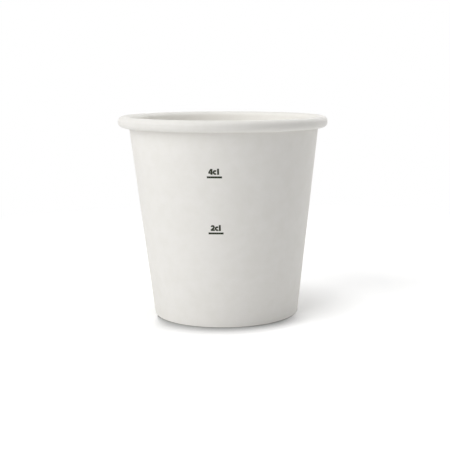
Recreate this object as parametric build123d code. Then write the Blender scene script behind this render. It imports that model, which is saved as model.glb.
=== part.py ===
# A small paper cup with two fill lines, as used for a dose of medicine or a sip of water.
# It is made of two pieces of card. The side wall is one blank, lapped along a side seam,
# rolled outward at the rim and folded in at the foot. The bottom is a disc with a skirt that
# is pinched between the wall and the fold. Each fill line is a bar of ink on the outside.
# Millimetres, +Z up. The origin is on the table under the middle of the cup, and -Y faces
# the fill lines.

from build123d import *
import os
from math import acos, atan2, cos, degrees, pi, radians, sin, tan

# Overall form

cup_height = 50.5
rim_diameter = 53.0  # over the rolled rim
base_diameter = 37.0  # where the wall's outer face would meet the table
floor_height = 7.9  # from the table up to the inside of the bottom

# Card

side_board = 0.25
bottom_board = 0.22
seal_gap = 0.02  # between two sealed faces

# Rolled rim

roll_radius = 1.32  # outside of the roll's first half turn
roll_height = 2.82
roll_clearance = 0.06  # between the roll and the wall that it curls back to
tail_radius = 0.9  # the roll's free edge, tucked inside it
tail_turn = 95.0

# Foot

hem_height = 6.2  # the side blank's lower edge, folded in and up
fold_radius = 0.05  # inside of the fold's two corners
skirt_clearance = 0.15  # from the bottom's skirt down to the fold
skirt_corner_radius = 0.7

# Side seam

lap_width = 5.5
lap_ramp = 4.0  # where the outer layer climbs over the inner one
lap_tuck = 0.5  # how far the lap reaches up behind the roll
seam_angle = 160.0  # about +Z from +X to the middle of the lap

# Fill lines

fill_volumes = {"2cl": 20000.0, "4cl": 40000.0}  # cubic millimetres
fill_line_length = 3.55
fill_line_thickness = 0.46
ink_thickness = 0.03
front_angle = -90.0  # about +Z from +X to the fill lines

# Worked out from the sizes above. The wall runs straight from the foot to the roll.

out = (rim_diameter - base_diameter) / 2
to_roll = Vector(out - roll_radius, cup_height - roll_radius)
lean = degrees(acos((roll_radius - side_board) / to_roll.length) - atan2(to_roll.Y, to_roll.X))
slope = tan(radians(lean))
slant = cos(radians(lean))
pocket = bottom_board + 2 * seal_gap
quarter = 90.0


def outer_radius(height):
    """The wall's outer face."""
    return base_diameter / 2 + height * slope


def inner_radius(height):
    """The wall's inner face."""
    return outer_radius(height) - side_board / slant


def corner_length(radius, turn):
    """From the sharp corner of a bend back to where the bend starts."""
    return radius * tan(radians(abs(turn) / 2))


def card_line(start, heading, steps, depth):
    """Walk a card's coated face, and draw the line that lies at a depth under it.

    The card lies to the right of the walk. Each step is a straight run and then a bend, given
    by its radius on the coated face and its turn to the left.
    """
    at = Vector(*start) + Vector(depth, 0).rotate(Axis.Z, heading - quarter)
    edges = []
    for length, radius, turn in steps:
        if length:
            edges.append(Line(at, at + Vector(length, 0).rotate(Axis.Z, heading)))
            at = edges[-1] @ 1
        if turn:
            reach = radius + depth if turn > 0 else radius - depth
            edges.append(JernArc(at, Vector(1, 0).rotate(Axis.Z, heading), reach, turn))
            at = edges[-1] @ 1
            heading += turn
    return edges


def card_section(start, heading, steps, near, far):
    """The cut section of a card between two depths, standing in the plane of the cup's axis."""
    face_side = card_line(start, heading, steps, near)
    back_side = card_line(start, heading, steps, far)
    cut_edges = [Line(face_side[end] @ at, back_side[end] @ at) for end, at in ((0, 0), (-1, 1))]
    return Plane.XZ * make_face(face_side + back_side + cut_edges)


def side_steps():
    """The side blank's walk: down the hem, across the fold, up the wall and round the roll."""
    in_turn = quarter + lean
    out_turn = quarter - lean
    in_corner = corner_length(fold_radius, in_turn)
    out_corner = corner_length(fold_radius, out_turn)
    wall_top = to_roll.Y + roll_radius * sin(radians(lean))
    under_radius = (out - roll_clearance - (cup_height - roll_height) * slope) / (2 + slope)
    return [
        ((hem_height - side_board) / slant - in_corner, fold_radius, in_turn),
        (pocket / slant - in_corner - out_corner, fold_radius, out_turn),
        ((wall_top - side_board) / slant - out_corner, roll_radius, -out_turn - quarter),
        (roll_height - roll_radius - under_radius, under_radius, -2 * quarter),
        (0, tail_radius, -tail_turn),
    ]


def hem_start():
    """The hem's free edge, on its coated face."""
    return inner_radius(hem_height) - pocket / slant, hem_height


def lap():
    """The second layer of card along the side seam, square at one edge and eased at the other."""
    hem, foot = side_steps()[:2]
    top = cup_height - roll_height + lap_tuck
    up_wall = (top - side_board) / slant - corner_length(fold_radius, foot[2])
    steps = [hem, foot, (up_wall, 0, 0)]
    section = card_section(hem_start(), -quarter - lean, steps, side_board / 2, 2 * side_board)
    middle_radius = outer_radius(cup_height / 2)
    lap_angle = degrees(lap_width / middle_radius)
    ramp_angle = degrees(lap_ramp / middle_radius)
    layer = revolve(section, Axis.Z, lap_angle + ramp_angle)
    layer = split(layer, bisect_by=Plane.XY, keep=Keep.TOP)

    start_low = Vector(inner_radius(0) - pocket / 2, 0, 0)
    full_low = Vector(outer_radius(0) + side_board / slant, 0, 0).rotate(Axis.Z, ramp_angle)
    full_high = Vector(outer_radius(top) + side_board / slant, 0, top).rotate(Axis.Z, ramp_angle)
    across = full_low - start_low
    eased = Plane(origin=start_low, x_dir=across, z_dir=across.cross(full_high - start_low))
    layer = split(layer, bisect_by=eased, keep=Keep.BOTTOM)
    return Rot(0, 0, seam_angle - ramp_angle - lap_angle / 2) * layer


def sidewall():
    """The side blank: a cone with its rolled rim, its hem and its lapped seam, in one piece."""
    section = card_section(hem_start(), -quarter - lean, side_steps(), 0, side_board)
    return revolve(section, Axis.Z) + lap()


def bottom_disc():
    """The flat bottom, with a skirt turned down inside the wall."""
    turn = quarter + lean
    corner = corner_length(skirt_corner_radius, turn)
    skirt_end = side_board + skirt_clearance
    disc_run = inner_radius(floor_height) - seal_gap / slant - corner
    skirt_run = (floor_height - skirt_end) / slant - corner
    steps = [
        (disc_run, skirt_corner_radius, -turn),
        (skirt_run, 0, 0),
    ]
    return revolve(card_section((0, floor_height), 0, steps, 0, bottom_board), Axis.Z)


def fill_height(volume):
    """The level of this much liquid in the cup."""
    floor_radius = inner_radius(floor_height)
    surface_radius = (floor_radius**3 + 3 * volume * slope / pi) ** (1 / 3)
    return floor_height + (surface_radius - floor_radius) / slope


def fill_line(volume):
    """A bar of ink on the wall's outer face, level with this much liquid."""
    level = fill_height(volume)
    lower = level - fill_line_thickness / 2 * slant
    start = (inner_radius(lower), lower)
    steps = [(fill_line_thickness, 0, 0)]
    section = card_section(start, quarter - lean, steps, side_board, side_board + ink_thickness)
    arc = degrees(fill_line_length / outer_radius(level))
    return Rot(0, 0, front_angle - arc / 2) * revolve(section, Axis.Z, arc)


os.makedirs("parts", exist_ok=True)
export_step(sidewall(), "parts/sidewall.step")
export_step(bottom_disc(), "parts/bottom_disc.step")
for name, volume in fill_volumes.items():
    export_step(fill_line(volume), f"parts/fill_line_{name}.step")
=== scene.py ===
# The look of a small paper cup with two fill lines. The card is modelled as it is in the real
# cup: one blank wrapped once round and lapped, rolled at the rim and folded at the foot, and a
# bottom whose skirt is held in the fold. The ink is thin slabs that lie on the card. Sizes are
# millimetres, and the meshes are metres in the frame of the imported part.

from cmath import exp
from math import acos, atan2, ceil, copysign, cos, degrees, pi, radians, sin, tan, tau

import bmesh
import bpy
import numpy as np
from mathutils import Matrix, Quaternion, Vector, noise
from mathutils.geometry import tessellate_polygon

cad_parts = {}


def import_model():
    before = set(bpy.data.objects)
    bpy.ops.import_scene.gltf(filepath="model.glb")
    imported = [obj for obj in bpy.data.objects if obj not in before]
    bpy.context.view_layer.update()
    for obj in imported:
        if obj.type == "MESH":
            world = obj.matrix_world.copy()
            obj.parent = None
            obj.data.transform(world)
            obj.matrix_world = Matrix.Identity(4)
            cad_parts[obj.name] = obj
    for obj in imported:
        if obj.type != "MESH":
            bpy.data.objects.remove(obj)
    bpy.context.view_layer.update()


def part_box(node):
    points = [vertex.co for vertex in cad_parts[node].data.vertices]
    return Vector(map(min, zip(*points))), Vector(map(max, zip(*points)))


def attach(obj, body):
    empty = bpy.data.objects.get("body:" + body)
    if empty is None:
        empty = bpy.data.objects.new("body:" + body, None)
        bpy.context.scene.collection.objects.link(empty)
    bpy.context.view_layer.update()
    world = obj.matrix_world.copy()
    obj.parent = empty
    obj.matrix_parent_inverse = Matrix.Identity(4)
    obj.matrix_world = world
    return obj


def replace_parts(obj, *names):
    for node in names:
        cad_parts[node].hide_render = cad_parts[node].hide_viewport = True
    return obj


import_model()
mm = 0.001


def box(node):
    """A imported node's lowest and highest corners in millimetres."""
    return [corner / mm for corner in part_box(node)]


# Overall form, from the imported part

cup_height = box("sidewall")[1].z
rim_radius = box("sidewall")[1].x
floor_height = box("bottom_disc")[1].z
base_radius = 18.5  # where the wall's outer face would meet the table

# Card

side_board = 0.25
bottom_board = 0.22
seal_gap = 0.02
ply_gap = 0.01  # between the two plies of the lap

# Rolled rim

roll_radius = 1.32
roll_height = 2.82
roll_clearance = 0.06
tail_radius = 0.9
tail_turn = 95.0
roll_unevenness = 0.035
roll_excess = 0.25  # how much wider the roll is at one side, and narrower at the other
rim_tilt = 0.70  # degrees that the rim leans down, away from the roll's wide side

# Foot

hem_height = 6.2
fold_radius = 0.05
skirt_clearance = 0.15
skirt_corner_radius = 0.7
knurl_count = 92
knurl_depth = 0.06
knurl_low = 1.2
knurl_high = 4.9
knurl_fade = 0.5

# Side seam

lap_width = 5.5
lap_ramp = 4.0
settle_width = 1.5  # where the inner ply recovers beside the outer one's edge
seam_angle = 160.0

# Unevenness of the card

wall_unevenness = 0.03
wall_lobes = (2, 5, 8, 11, 17, 23)  # how often each wave goes round the cup
wall_rise = 0.25  # how quickly the waves change up the wall, in radians a millimetre
roll_lobes = (3, 7, 12, 19, 31)
floor_lobes = (1, 2, 3, 5)
wave_spread = 1.5  # brings a sum of waves to about between -1 and 1
calm_height = 11.0  # the wall keeps its exact form up to here, where the bottom holds it
free_height = 30.0
wide_side = 185.9  # about +Z from +X to the side where the roll is widest and the rim highest
floor_unevenness = 0.05
crimp_depth = 0.025
crimp_lobes = (46, 53)

# Ink

front_angle = -90.0
ink_thickness = 0.025
ink_raggedness = 0.012
ragged_places = 9.0  # in a millimetre
ink_seed = 7
text_rise = 0.64  # from the middle of a fill line up to the feet of its letters
letter_drop = -0.03j  # the printed letters spread a little below their feet
c_stroke = 0.40
l_stroke = 0.44

# How finely the meshes follow the form

run_step = 2.0
bend_step = 8.0
columns_per_knurl = 4
hub_radius = 0.5  # the middle of the bottom is one flat face on each side
stroke_step = 0.09
bar_step = 0.12
arc_parts = 14
sharp_angle = 40.0

# Worked out from the sizes above

quarter = 90.0
out = rim_radius - base_radius
to_roll = Vector((out - roll_radius, cup_height - roll_radius))
lean = degrees(acos((roll_radius - side_board) / to_roll.length) - atan2(to_roll.y, to_roll.x))
slope = tan(radians(lean))
slant = cos(radians(lean))
pocket = bottom_board + 2 * seal_gap
mouth_radius = rim_radius - 2 * roll_radius
middle_radius = base_radius + cup_height / 2 * slope
lap_arc = lap_width / middle_radius
ramp_arc = lap_ramp / middle_radius
settle_arc = settle_width / middle_radius
inner_edge = radians(seam_angle) - lap_arc / 2
column_arc = tau / (knurl_count * columns_per_knurl)


def smooth(x):
    """A soft step, from 0 at 0 to 1 at 1."""
    x = np.clip(x, 0.0, 1.0)
    return x * x * (3 - 2 * x)


def outer_radius(height):
    """The wall's outer face."""
    return base_radius + height * slope


def inner_radius(height):
    """The wall's inner face."""
    return outer_radius(height) - side_board / slant


# Unevenness, the same each run and closed round the cup


def waves(turn, height, lobes, rise, seed):
    """A sum of slow waves round and up the cup, about between -1 and 1."""
    draw = np.random.default_rng(seed)
    total = 0.0
    for lobe in lobes:
        phase = draw.uniform(0, tau)
        total = total + np.sin(lobe * turn + rise * draw.uniform(-1, 1) * height + phase)
    return total / len(lobes) ** 0.5 / wave_spread


def tipped(turn, radius, height):
    """A height on the cup, once the rim is tipped. The foot stays level."""
    share = smooth((height - calm_height) / (cup_height - calm_height))
    return height + share * tan(radians(rim_tilt)) * radius * np.cos(turn - radians(wide_side))


def wall_ripple(turn, height):
    """How far the wall stands off its cone."""
    free = smooth((height - calm_height) / (free_height - calm_height))
    return wall_unevenness * free * waves(turn, height, wall_lobes, wall_rise, seed=4)


def roll_dent(turn):
    """How far the rolled rim is pressed in, which is never outward."""
    return roll_unevenness * (1 + waves(turn, 0.0, roll_lobes, 0.0, seed=9)) / 2


# Sections of card. Complex numbers hold them: the radius is real, and the height is imaginary.


def corner_length(radius, turn):
    """From the sharp corner of a bend back to where the bend starts."""
    return radius * tan(radians(abs(turn) / 2))


def walk(start, heading, steps):
    """Samples a card's coated face: its points, the way into the card, and the length so far.

    The card lies to the right of the walk. Each step is a straight run and then a bend, given
    by its radius on the coated face and its turn to the left.
    """
    at = complex(*start)
    facing = exp(1j * radians(heading))
    length = 0.0
    rows = [(at, -1j * facing, length)]
    for run, radius, turn in steps:
        parts = max(1, round(run / run_step))
        for _ in range(parts if run else 0):
            at += facing * run / parts
            length += run / parts
            rows.append((at, -1j * facing, length))
        centre = at + 1j * facing * copysign(radius, turn)
        parts = ceil(abs(turn) / bend_step)
        for _ in range(parts):
            spin = exp(1j * radians(turn) / parts)
            at = centre + (at - centre) * spin
            facing *= spin
            length += radius * radians(abs(turn)) / parts
            rows.append((at, -1j * facing, length))
    points, into, lengths = np.array(rows).T
    return points, into, lengths.real


def side_steps(clearance):
    """The side blank's walk: down the hem, across the fold, up the wall and round the roll."""
    in_turn = quarter + lean
    out_turn = quarter - lean
    in_corner = corner_length(fold_radius, in_turn)
    out_corner = corner_length(fold_radius, out_turn)
    wall_top = to_roll.y + roll_radius * sin(radians(lean))
    under_radius = (out - clearance - (cup_height - roll_height) * slope) / (2 + slope)
    return [
        ((hem_height - side_board) / slant - in_corner, fold_radius, in_turn),
        (pocket / slant - in_corner - out_corner, fold_radius, out_turn),
        ((wall_top - side_board) / slant - out_corner, roll_radius, -out_turn - quarter),
        (roll_height - roll_radius - under_radius, under_radius, -2 * quarter),
        (0, tail_radius, -tail_turn),
    ]


def side_walk(clearance):
    """The side blank's coated face, for a roll that clears the wall by this much."""
    hem_start = (inner_radius(hem_height) - pocket / slant, hem_height)
    return walk(hem_start, -quarter - lean, side_steps(clearance))


def roll_start():
    """How far along the side blank's walk the roll starts."""
    hem, foot, wall = side_steps(roll_clearance)[:3]
    bends = sum(radius * radians(turn) for _, radius, turn in (hem, foot))
    return hem[0] + foot[0] + wall[0] + bends


free_walk, into_card, walk_length = side_walk(roll_clearance)
crowded_walk = side_walk(roll_clearance + side_board)[0]
on_roll = smooth((walk_length - roll_start()) / roll_height + 1)
on_knurl = (smooth((walk_length - hem_height + knurl_high) / knurl_fade)
            * smooth((hem_height - knurl_low - walk_length) / knurl_fade))


def blank_faces(turned):
    """The side blank's coated and back faces, at this angle round from its inner edge."""
    turn = inner_edge + turned
    climb = smooth((turned - tau) / ramp_arc + 1)
    doubled = climb if turned > pi else 1 - smooth((turned - lap_arc) / settle_arc)
    beside_lap = min(turned - lap_arc, tau - ramp_arc - turned)
    crowding = 1 - smooth(beside_lap / ramp_arc)
    face = free_walk + crowding * (crowded_walk - free_walk)

    near = climb * (side_board + ply_gap)
    far = (1 + climb) * side_board
    knurl = knurl_depth * on_knurl * (1 + cos(knurl_count * turn)) / 2
    dent = on_roll * roll_dent(turn)
    face = face + on_roll * roll_excess * cos(turn - radians(wide_side)) * across_roll(face)
    coated = face + pressed(near + dent, doubled)
    back = face + pressed(far + dent - knurl, doubled)
    return [side + (1 - on_roll) * wall_ripple(turn, side.imag) for side in (coated, back)]


def across_roll(face):
    """How far across the roll each place lies, from 0 at the mouth to 1 at the outside."""
    return (face.real - mouth_radius) / (rim_radius - mouth_radius)


def pressed(depth, doubled):
    """The way into the card to a depth, with two plies pressed to one where they lie flat."""
    return into_card.real * depth + 1j * into_card.imag * depth / (1 + doubled)


def bottom_walk():
    """The bottom's coated face, from its middle out and down the skirt."""
    turn = quarter + lean
    corner = corner_length(skirt_corner_radius, turn)
    disc_run = inner_radius(floor_height) - seal_gap / slant - corner - hub_radius
    steps = [
        (disc_run, skirt_corner_radius, -turn),
        ((floor_height - side_board - skirt_clearance) / slant - corner, 0, 0),
    ]
    return walk((hub_radius, floor_height), 0, steps)


def bottom_faces(turn):
    """The bottom's coated and back faces at one angle: a little uneven, and crimped at its edge."""
    face, into, length = bottom_walk()
    flat = face.real - skirt_corner_radius < inner_radius(floor_height) - 2 * skirt_corner_radius
    edge = length[flat][-1]
    loose = smooth(1 - face.real / edge) * smooth(face.real / run_step)
    crimped = np.exp(-((length - edge - skirt_corner_radius / 2) / skirt_corner_radius) ** 2)
    sway = floor_unevenness * loose * waves(turn, 0.0, floor_lobes, 0.0, seed=2)
    crimp = crimp_depth * crimped * (1 + waves(turn, 0.0, crimp_lobes, 0.0, seed=6))
    coated = face + into * crimp - 1j * sway
    return [coated, coated + into * bottom_board]


# Meshes


def new_object(name, points, faces, materials, face_materials):
    """A smooth-shaded object from points in millimetres, with its cut edges kept sharp."""
    mesh = bpy.data.meshes.new(name)
    mesh.from_pydata((np.asarray(points) * mm).tolist(), [], faces)
    for material in materials:
        mesh.materials.append(material)
    mesh.polygons.foreach_set("material_index", face_materials)
    mesh.polygons.foreach_set("use_smooth", [True] * len(mesh.polygons))
    mesh.validate()
    mesh.set_sharp_from_angle(angle=radians(sharp_angle))
    made = bpy.data.objects.new(name, mesh)
    bpy.context.scene.collection.objects.link(made)
    return made


def swept_card(name, turns, faces_at, materials, closed):
    """Card swept round the axis. The materials are the coated face's, the back's and the cut edge's."""
    loops = []
    for turn in turns:
        coated, back = faces_at(turn)
        loops.append(np.concatenate([coated, back[::-1]]))
    loops = np.array(loops)
    angle = (turns if closed else turns + inner_edge)[:, None]
    heights = tipped(angle, loops.real, loops.imag)
    points = np.stack([loops.real * np.cos(angle), loops.real * np.sin(angle), heights], axis=-1)

    columns, size = loops.shape
    half = size // 2
    kinds = [0] * (half - 1) + [2] + [1] * (half - 1) + [2]
    faces = []
    for column in range(columns if closed else columns - 1):
        here = column * size
        there = (column + 1) % columns * size
        for place in range(size):
            following = (place + 1) % size
            faces.append((here + place, here + following, there + following, there + place))
    face_kinds = kinds * (len(faces) // size)
    if not closed:
        last = (columns - 1) * size
        for place in range(half - 1):
            ends = (size - 1 - place, size - 2 - place, place + 1, place)
            faces.append(ends)
            faces.append(tuple(last + end for end in reversed(ends)))
            face_kinds += [2, 2]
    return new_object(name, points.reshape(-1, 3), faces, materials, face_kinds)


def side_wall(materials):
    """The side blank, wrapped once round from its inner edge and over itself along the lap."""
    turns = np.append(np.arange(0, tau + lap_arc, column_arc), tau + lap_arc)
    piece = swept_card("side_wall", turns, blank_faces, materials, closed=False)
    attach(piece, "root")
    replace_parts(piece, "sidewall")


def bottom(materials):
    """The bottom with its skirt, and its middle closed on both faces."""
    turns = np.arange(0, tau, 2 * column_arc)
    piece = swept_card("bottom", turns, bottom_faces, materials, closed=True)
    close_middle(piece)
    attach(piece, "root")
    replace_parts(piece, "bottom_disc")


def close_middle(piece):
    """Takes away the small cylinder at the middle of a swept disc and fills both its ends."""
    form = bmesh.new()
    form.from_mesh(piece.data)
    beside_hub = (hub_radius + run_step / 4) * mm
    hub = [face for face in form.faces
           if all(vertex.co.xy.length < beside_hub for vertex in face.verts)]
    bmesh.ops.delete(form, geom=hub, context="FACES")
    rims = [edge for edge in form.edges if edge.is_boundary]
    filled = bmesh.ops.holes_fill(form, edges=rims, sides=0)["faces"]
    bmesh.ops.recalc_face_normals(form, faces=form.faces[:])
    for face in filled:
        face.smooth = True
        face.material_index = 0 if face.normal.z > 0 else 1
    form.to_mesh(piece.data)
    form.free()


# Ink. Flat shapes in millimetres, across the cup and up its wall, are laid on the card.


def ribbon(path, width):
    """A stroke of one width along a path, as points and the quads between them."""
    path = np.array(path)
    along = np.gradient(path)
    aside = 1j * along / abs(along) * width / 2
    points = np.concatenate([path + aside, path - aside])
    count = len(path)
    quads = [(i, i + count, i + count + 1, i + 1) for i in range(count - 1)]
    return points, quads


def line(start, end, step=stroke_step):
    """Evenly spaced places on a straight stroke."""
    return np.linspace(start, end, max(2, ceil(abs(end - start) / step)))


def arc(centre, across, up, start, end):
    """Places on an elliptical stroke, from one angle to another in degrees."""
    turn = np.radians(np.linspace(start, end, arc_parts))
    return centre + across * np.cos(turn) + 1j * up * np.sin(turn)


def outlined(*loops):
    """A shape from its outline and the counters inside it."""
    corners = [[Vector((place.real, place.imag, 0)) for place in loop] for loop in loops]
    return np.concatenate(loops), tessellate_polygon(corners)


def letter_l():
    return ribbon(line(letter_drop, 1.42j), l_stroke)


def letter_c():
    return ribbon(arc(0.52j, 0.33, 0.37, 42, 318), c_stroke)


def figure_2():
    bowl = 0.87j
    outer = arc(bowl, 0.49, 0.53, -38, 168)
    inner = arc(bowl, 0.10, 0.12, 168, -38)
    foot = [-0.48 + letter_drop, 0.49 + letter_drop, 0.49 + 0.36j, 0.15 + 0.36j]
    return outlined([*foot, *outer, *inner, -0.48 + 0.32j])


def figure_4():
    outline = [letter_drop, 0.45 + letter_drop, 0.45 + 0.22j, 0.50 + 0.22j, 0.50 + 0.54j, 0.45 + 0.54j,
               0.45 + 1.37j, -0.05 + 1.37j, -0.50 + 0.58j, -0.50 + 0.22j, 0.22j]
    counter = [0.54j, -0.17 + 0.54j, 0.84j]
    return outlined(outline, counter)


def on_wall(flat, level, lift):
    """Where a flat point lies on the wall, at a lift from its outer face."""
    height = level + flat.imag * slant
    turn = radians(front_angle) + flat.real / outer_radius(level)
    radius = outer_radius(height) + lift / slant + wall_ripple(turn, height)
    return Vector((radius * cos(turn), radius * sin(turn), tipped(turn, radius, height))) * mm


def ink(name, level, shapes, material):
    """Lays flat shapes on the wall as one thin slab of ink. A shape is points and faces."""
    form = bmesh.new()
    for points, faces in shapes:
        corners = [form.verts.new((place.real, place.imag, 0)) for place in points]
        for face in faces:
            form.faces.new([corners[i] for i in face])
    noise.seed_set(ink_seed)
    for vertex in form.verts:
        shift = noise.noise_vector(vertex.co * ragged_places + Vector((level, 0, 0))) * ink_raggedness
        vertex.co += Vector((shift.x, shift.y, 0))
    raised = bmesh.ops.extrude_face_region(form, geom=form.faces[:])["geom"]
    for vertex in raised:
        if isinstance(vertex, bmesh.types.BMVert):
            vertex.co.z = ink_thickness
    bmesh.ops.recalc_face_normals(form, faces=form.faces[:])
    form.verts.index_update()
    places = [on_wall(complex(vertex.co.x, vertex.co.y), level, vertex.co.z) for vertex in form.verts]
    faces = [[corner.index for corner in face.verts] for face in form.faces]
    form.free()
    mesh = bpy.data.meshes.new(name)
    mesh.from_pydata(places, [], sorted(faces))  # sorted, so that each run gives the same mesh
    mesh.materials.append(material)
    piece = bpy.data.objects.new(name, mesh)
    bpy.context.scene.collection.objects.link(piece)
    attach(piece, "root")
    return piece


def placed(shape, across):
    """A letter moved to its place in a line of text."""
    points, faces = shape
    return points + across + 1j * text_rise / slant, faces


def fill_mark(volume, letters, material):
    """A fill line, and the volume above it in letters, each with its place across the line."""
    node = f"fill_line_{volume}"
    low, high = box(node)
    level = (low.z + high.z) / 2
    half = outer_radius(level) * atan2(high.x, -high.y)
    thickness = (high.z - low.z) / slant
    bar = ribbon(line(-half, half, bar_step), thickness)
    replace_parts(ink(f"line_{volume}", level, [bar], material), node)
    ink(f"figures_{volume}", level, [placed(*letter) for letter in letters], material)


# Materials

soft_span = (0.35, 0.65)  # the values of noise between which a card's tint changes
ink_span = (0.30, 0.75)
rough_span = (0.30, 0.70)
painted_light_fade = 0.8  # how far the roll's painted shade takes to replace the paler painted light of the film within the cup


def tone(red, green, blue):
    """A colour as it is seen on a screen, as the shader wants it."""
    return [*(np.where(channel / 255 <= 0.04045, channel / 255 / 12.92,
                       ((channel / 255 + 0.055) / 1.055) ** 2.4).item()
              for channel in (red, green, blue)), 1.0]


class Shader:
    """A material's node tree, with short words for what the materials here need."""

    def __init__(self, name):
        self.material = bpy.data.materials.new(name)
        self.material.use_nodes = True
        self.tree = self.material.node_tree
        self.surface = self.tree.nodes["Principled BSDF"]
        here = self.node("ShaderNodeTexCoord").outputs["Object"]
        self.place = self.scaled(here, (1 / mm,) * 3)

    def node(self, kind, settings=(), **inputs):
        """A new node with its settings, and its inputs by their names."""
        made = self.tree.nodes.new(kind)
        for key, value in dict(settings).items():
            setattr(made, key, value)
        for key, value in inputs.items():
            self.put(made.inputs[key.replace("_", " ")], value)
        return made

    def put(self, socket, value):
        """Joins a socket to another one, or sets it to a number or a colour."""
        if isinstance(value, bpy.types.NodeSocket):
            self.tree.links.new(value, socket)
        else:
            socket.default_value = value

    def scaled(self, place, scale):
        made = self.node("ShaderNodeMapping", Vector=place)
        made.inputs["Scale"].default_value = scale
        return made.outputs[0]

    def grain(self, size, detail, stretch=(1, 1, 1)):
        """Soft noise from 0 to 1, whose blotches are about this many millimetres across."""
        where = self.scaled(self.place, stretch)
        made = self.node("ShaderNodeTexNoise", Vector=where, Scale=1 / size, Detail=detail, Roughness=0.6)
        return made.outputs["Fac"]

    def vector_math(self, operation, vector):
        """A node that works something out from a vector."""
        return self.node("ShaderNodeVectorMath", {"operation": operation}, Vector=vector)

    def math(self, operation, first, second):
        """A number that is worked out from two numbers."""
        made = self.node("ShaderNodeMath", {"operation": operation})
        self.put(made.inputs[0], first)
        self.put(made.inputs[1], second)
        return made.outputs[0]

    def from_axis(self):
        """Millimetres from the cup's axis."""
        return self.vector_math("LENGTH", self.scaled(self.place, (1, 1, 0))).outputs["Value"]

    def ranged(self, factor, span, low, high):
        """A number that goes from low to high as a factor goes through a span."""
        made = self.node("ShaderNodeMapRange", Value=factor, From_Min=span[0], From_Max=span[1])
        self.put(made.inputs["To Min"], low)
        self.put(made.inputs["To Max"], high)
        return made.outputs[0]

    def between(self, factor, span, first, second):
        """A colour that goes from the first to the second as a factor goes through a span."""
        mix = self.node("ShaderNodeMix", {"data_type": "RGBA"})
        self.put(mix.inputs[0], self.ranged(factor, span, 0.0, 1.0))
        self.put(mix.inputs[6], first)
        self.put(mix.inputs[7], second)
        return mix.outputs[2]

    def relief(self, layers):
        """Bump from several layers of noise, each with its height in millimetres."""
        normal = None
        for height, level in layers:
            bump = self.node("ShaderNodeBump", Height=height, Distance=level * mm, Strength=1.0)
            if normal is not None:
                self.put(bump.inputs["Normal"], normal)
            normal = bump.outputs[0]
        self.put(self.surface.inputs["Normal"], normal)

    def finish(self, colour, **inputs):
        """The material, with its colour and its other inputs by their names."""
        self.put(self.surface.inputs["Base Color"], colour)
        for key, value in inputs.items():
            self.put(self.surface.inputs[key.replace("_", " ")], value)
        return self.material


def bare_card():
    """The outside of the side blank: matte, a little cloudy, with fine fibres."""
    shader = Shader("bare card")
    cloud = shader.grain(3.2, detail=4.0)
    fibre = shader.grain(0.16, detail=2.0, stretch=(1, 1, 0.35))
    tint = shader.between(cloud, soft_span, tone(233, 231, 226), tone(236, 234, 230))
    shader.relief([(cloud, 0.02), (fibre, 0.006)])
    rough = shader.ranged(fibre, rough_span, 0.82, 0.94)
    return shader.finish(tint, Roughness=rough, Specular_IOR_Level=0.3)


def coated_card():
    """The sealed face: card under a thin film. Its colour is painted paler within the cup, a painted
    light, and darker on the roll, a painted shade.
    """
    shader = Shader("coated card")
    cloud = shader.grain(2.6, detail=4.0)
    orange_peel = shader.grain(0.45, detail=1.0)
    # Painted light: the film within the cup is given a paler colour, for light that comes through the
    # card.
    inside_painted_light = shader.between(cloud, soft_span, tone(243, 241, 236), tone(245, 243, 238))
    # Painted shade: the same film on the roll is given a darker colour, for less light on it.
    roll_painted_shade = shader.between(cloud, soft_span, tone(230, 228, 223), tone(233, 231, 227))
    over_mouth = (mouth_radius, mouth_radius + painted_light_fade)
    tint = shader.between(shader.from_axis(), over_mouth, inside_painted_light, roll_painted_shade)
    shader.relief([(cloud, 0.02), (orange_peel, 0.004)])
    rough = shader.ranged(orange_peel, rough_span, 0.50, 0.62)
    return shader.finish(tint, Roughness=rough, Specular_IOR_Level=0.4)


def cut_card():
    """The raw edge of the card, where its layers show."""
    shader = Shader("cut card")
    layers = shader.grain(0.08, detail=2.0)
    tint = shader.between(layers, soft_span, tone(206, 198, 184), tone(226, 221, 211))
    shader.relief([(layers, 0.01)])
    return shader.finish(tint, Roughness=0.95, Specular_IOR_Level=0.2)


def bottom_card(name, roughness):
    """The bottom's card, a little greyer than the wall."""
    shader = Shader(name)
    cloud = shader.grain(2.8, detail=4.0)
    fibre = shader.grain(0.2, detail=2.0, stretch=(0.4, 1, 1))
    tint = shader.between(cloud, soft_span, tone(231, 228, 222), tone(234, 232, 227))
    shader.relief([(cloud, 0.02), (fibre, 0.005)])
    rough = shader.ranged(fibre, rough_span, roughness - 0.06, roughness + 0.06)
    return shader.finish(tint, Roughness=rough, Specular_IOR_Level=0.4)


def printed_ink():
    """Dark green-black ink, thinner where the card's fibres stand up."""
    shader = Shader("printed ink")
    fibre = shader.grain(0.12, detail=3.0)
    tint = shader.between(fibre, ink_span, tone(20, 27, 10), tone(44, 51, 30))
    shader.relief([(fibre, 0.008)])
    rough = shader.ranged(fibre, rough_span, 0.45, 0.70)
    return shader.finish(tint, Roughness=rough, Specular_IOR_Level=0.4)


# Stage, light and camera

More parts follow.
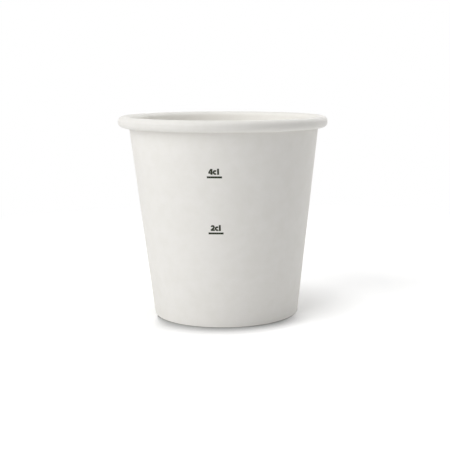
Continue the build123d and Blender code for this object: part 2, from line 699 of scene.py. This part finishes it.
stage_radius = 1200.0
blank_from = 110.0  # the floor shows plain white from here outward
blank_fade = 90.0
floor_bounce = 0.93  # how pale the floor is in the light that it gives back
floor_gain = 1.25  # how pale the camera sees it
contact_reach = 6.6  # how far the darkness beside the foot reaches
contact_right = (-0.96, -0.70)  # how much a place faces right, while the reach grows from 0
contact_side = -100.0  # about +Z from +X to the side of the foot where it is deepest
contact_near = (0.04, 0.54)  # how much a place faces that side, while the depth grows
contact_depth = (0.05, 1.4)  # a power on the open sky that the place sees
world_light = 0.215
lamp_distance = 800.0
lamps = {
    "key": {"azimuth": -54.0, "elevation": 32.0, "size": 860.0, "energy": 4.45},
    "top": {"azimuth": -100.0, "elevation": 87.0, "size": 370.0, "energy": 1.85},
    "side": {"azimuth": 95.0, "elevation": 20.0, "size": 640.0, "energy": 0.7},
    "back": {"azimuth": 138.0, "elevation": 34.0, "size": 740.0, "energy": 2.05},
}

camera_distance = 249.0
camera_azimuth = 5.9
camera_elevation = 8.46
camera_roll = -0.85
frame_pixels = 450
focal_pixels = 966.0
aim_pixel = (224.98, 213.72)  # where the middle of the cup's axis lies in the frame


def seen_rays(tree):
    """1 for what the camera sees, also in a reflection or through something, and 0 for light."""
    path = tree.nodes.new("ShaderNodeLightPath")
    seen = path.outputs["Is Camera Ray"]
    for kind in ("Is Glossy Ray", "Is Transmission Ray"):
        either = tree.nodes.new("ShaderNodeMath")
        either.operation = "MAXIMUM"
        tree.links.new(seen, either.inputs[0])
        tree.links.new(path.outputs[kind], either.inputs[1])
        seen = either.outputs[0]
    return seen


def faced(shader, side):
    """How much a place faces one side of the cup, given about +Z from +X, from -1 to 1."""
    outward = shader.vector_math("NORMALIZE", shader.place).outputs["Vector"]
    made = shader.vector_math("DOT_PRODUCT", outward)
    made.inputs[1].default_value = (cos(radians(side)), sin(radians(side)), 0)
    return made.outputs["Value"]


def contact_shade(shader):
    """The darkness beside the foot: shallow on the far side, and close to the foot on the left."""
    reach = shader.ranged(faced(shader, camera_azimuth), contact_right, 0.0, contact_reach * mm)
    depth = shader.ranged(faced(shader, contact_side), contact_near, *contact_depth)
    open_sky = shader.node("ShaderNodeAmbientOcclusion", Distance=reach)
    return shader.math("POWER", open_sky.outputs["AO"], depth)


def floor_material():
    """Pale and matte. The camera sees it bright enough to be white, apart from the shadow."""
    shader = Shader("floor")
    tree = shader.tree
    tree.nodes.remove(shader.surface)
    ray = seen_rays(tree)
    seen_tone = shader.math("MULTIPLY", contact_shade(shader), floor_gain)
    grey = shader.ranged(ray, (0.0, 1.0), floor_bounce, seen_tone)
    colour = shader.node("ShaderNodeCombineColor", Red=grey, Green=grey, Blue=grey).outputs[0]
    pale = shader.node("ShaderNodeBsdfDiffuse", Color=colour)
    white = shader.node("ShaderNodeEmission", Strength=1.0)
    far = shader.vector_math("LENGTH", shader.place).outputs["Value"]
    fade = shader.node("ShaderNodeMapRange", {"interpolation_type": "SMOOTHSTEP"}, Value=far,
                       From_Min=blank_from, From_Max=blank_from + blank_fade)
    mix = shader.node("ShaderNodeMixShader")
    shader.put(mix.inputs[0], shader.math("MULTIPLY", fade.outputs[0], ray))
    shader.put(mix.inputs[1], pale.outputs[0])
    shader.put(mix.inputs[2], white.outputs[0])
    tree.links.new(mix.outputs[0], tree.nodes["Material Output"].inputs["Surface"])
    return shader.material


def floor():
    bpy.ops.mesh.primitive_circle_add(vertices=96, radius=stage_radius * mm, fill_type="NGON")
    made = bpy.context.object
    made.name = "floor"
    made.data.materials.append(floor_material())


def world():
    """Even light from all round, which the camera sees as white."""
    made = bpy.data.worlds.new("studio")
    bpy.context.scene.world = made
    made.use_nodes = True
    tree = made.node_tree
    light = tree.nodes["Background"]
    light.inputs["Color"].default_value = (1, 1, 1, 1)
    strength = tree.nodes.new("ShaderNodeMapRange")
    strength.inputs["To Min"].default_value = world_light
    strength.inputs["To Max"].default_value = 1.0
    tree.links.new(seen_rays(tree), strength.inputs["Value"])
    tree.links.new(strength.outputs[0], light.inputs["Strength"])


def around(azimuth, elevation, distance):
    """A place at a distance from the cup's middle, with azimuth 0 in front of the fill lines."""
    turn, rise = radians(azimuth), radians(elevation)
    way = Vector((sin(turn) * cos(rise), -cos(turn) * cos(rise), sin(rise)))
    return Vector((0, 0, cup_height / 2)) + way * distance, way


def lamp(name, azimuth, elevation, size, energy):
    data = bpy.data.lights.new(name, "AREA")
    data.shape = "DISK"
    data.size = size * mm
    data.energy = energy
    made = bpy.data.objects.new(name, data)
    bpy.context.scene.collection.objects.link(made)
    place, way = around(azimuth + camera_azimuth, elevation, lamp_distance)
    made.location = place * mm
    made.rotation_mode = "QUATERNION"
    made.rotation_quaternion = way.to_track_quat("Z", "Y")


def camera():
    data = bpy.data.cameras.new("camera")
    made = bpy.data.objects.new("camera", data)
    bpy.context.scene.collection.objects.link(made)
    place, way = around(camera_azimuth, camera_elevation, camera_distance)
    made.location = place * mm
    made.rotation_mode = "QUATERNION"
    roll = Quaternion((0, 0, 1), radians(camera_roll))
    made.rotation_quaternion = (-way).to_track_quat("-Z", "Y") @ roll
    data.lens = focal_pixels / frame_pixels * data.sensor_width
    data.shift_x = 0.5 - aim_pixel[0] / frame_pixels
    data.shift_y = aim_pixel[1] / frame_pixels - 0.5
    data.clip_start = 10 * mm
    data.clip_end = 4 * stage_radius * mm
    bpy.context.scene.camera = made


coated, bare, cut, printed = coated_card(), bare_card(), cut_card(), printed_ink()
side_wall([coated, bare, cut])
bottom([bottom_card("coated bottom", 0.55), bottom_card("bare bottom", 0.85), cut])
fill_mark("4cl", [(figure_4(), -0.87), (letter_c(), 0.17), (letter_l(), 0.89)], printed)
fill_mark("2cl", [(figure_2(), -0.74), (letter_c(), 0.28), (letter_l(), 0.93)], printed)

floor()
world()
for name, setting in lamps.items():
    lamp(name, **setting)
camera()
bpy.context.scene.view_settings.view_transform = "Standard"
